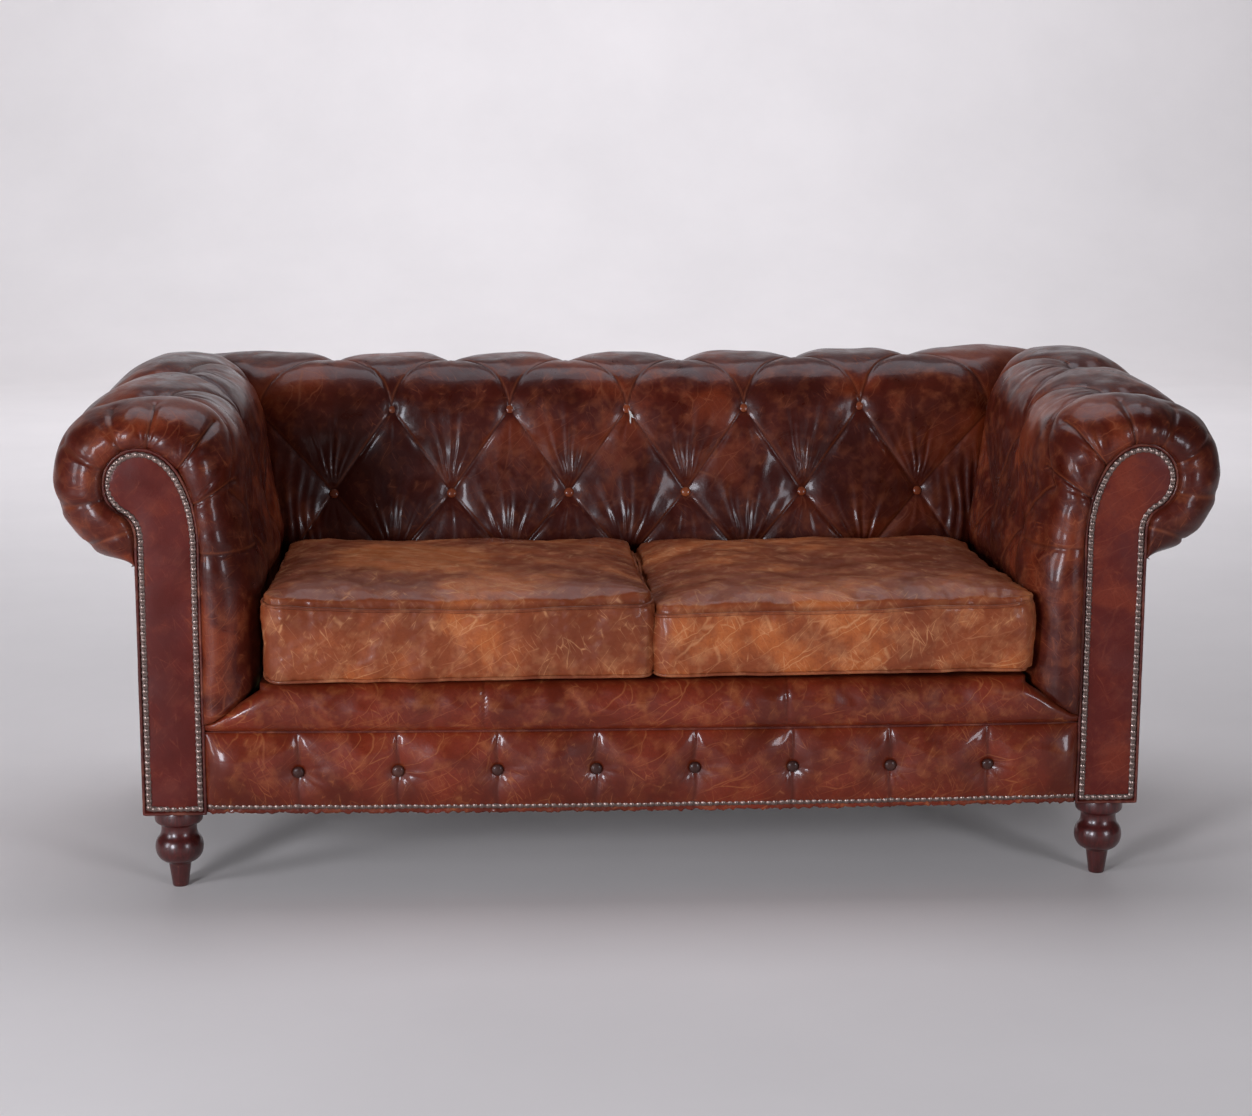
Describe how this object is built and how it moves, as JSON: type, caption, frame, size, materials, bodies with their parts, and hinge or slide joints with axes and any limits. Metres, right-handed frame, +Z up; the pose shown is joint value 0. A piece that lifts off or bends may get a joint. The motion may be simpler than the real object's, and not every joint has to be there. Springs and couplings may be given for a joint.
{
  "type": "rolled-arm leather sofa",
  "caption": "Worn two-seat rolled-arm sofa with deep-buttoned back and arms, loose seat cushions, nail-head trim and turned front feet.",
  "frame": {"origin": "on the floor, under the middle of the sofa's outer box", "axes": "+X along the sofa's width to the right of someone facing it, -Y towards its front, +Z up"},
  "size_m": [1.83, 0.86, 0.797],
  "materials": {
    "leather_walls": "satin",
    "leather_border": "satin",
    "leather_facing": "satin",
    "leather_outside": "satin",
    "leather_cushion": "satin",
    "leather_button": "satin",
    "brass_nails": "satin",
    "mahogany": "gloss",
    "timber": "matte",
    "foam": "matte",
    "hessian": "matte",
    "cambric": "matte",
    "spring_steel": "satin",
    "thread": "matte"
  },
  "bodies": {
    "root": {"arm_cover_left": "leather_walls", "arm_cover_right": "leather_walls", "arm_facing_left": "leather_facing", "arm_facing_right": "leather_facing", "arm_hessian_left": "hessian", "arm_hessian_right": "hessian", "arm_padding_left": "foam", "arm_padding_right": "foam", "arm_post_left": "timber", "arm_post_right": "timber", "arm_tack_rail_left": "timber", "arm_tack_rail_right": "timber", "arm_top_rail_left": "timber", "arm_top_rail_right": "timber", "back_cover": "leather_walls", "back_hessian": "hessian", "back_padding": "foam", "back_tack_rail": "timber", "back_top_rail": "timber", "back_upright": "timber", "border_button_1": "leather_button", "border_button_2": "leather_button", "border_button_3": "leather_button", "border_button_4": "leather_button", "border_button_5": "leather_button", "border_button_6": "leather_button", "border_button_7": "leather_button", "border_button_8": "leather_button", "border_panel": "leather_border", "corner_block_front_left": "timber", "corner_block_front_right": "timber", "corner_block_rear_left": "timber", "corner_block_rear_right": "timber", "dust_cover": "cambric", "front_foot_left": "mahogany", "front_foot_right": "mahogany", "lip_cover": "leather_border", "lip_padding": "foam", "outside_arm_left": "leather_outside", "outside_arm_right": "leather_outside", "outside_back": "leather_outside", "rear_leg_left": "mahogany", "rear_leg_right": "mahogany", "rear_post_left": "timber", "rear_post_right": "timber", "seat_brace": "timber", "seat_cushion_left": "leather_cushion", "seat_cushion_right": "leather_cushion", "seat_deck": "hessian", "seat_rail_front": "timber", "seat_rail_left": "timber", "seat_rail_rear": "timber", "seat_rail_right": "timber", "seat_spring_1": "spring_steel", "seat_spring_2": "spring_steel", "seat_spring_3": "spring_steel", "seat_spring_4": "spring_steel", "seat_spring_5": "spring_steel", "seat_spring_6": "spring_steel"}
  },
  "joints": []
}
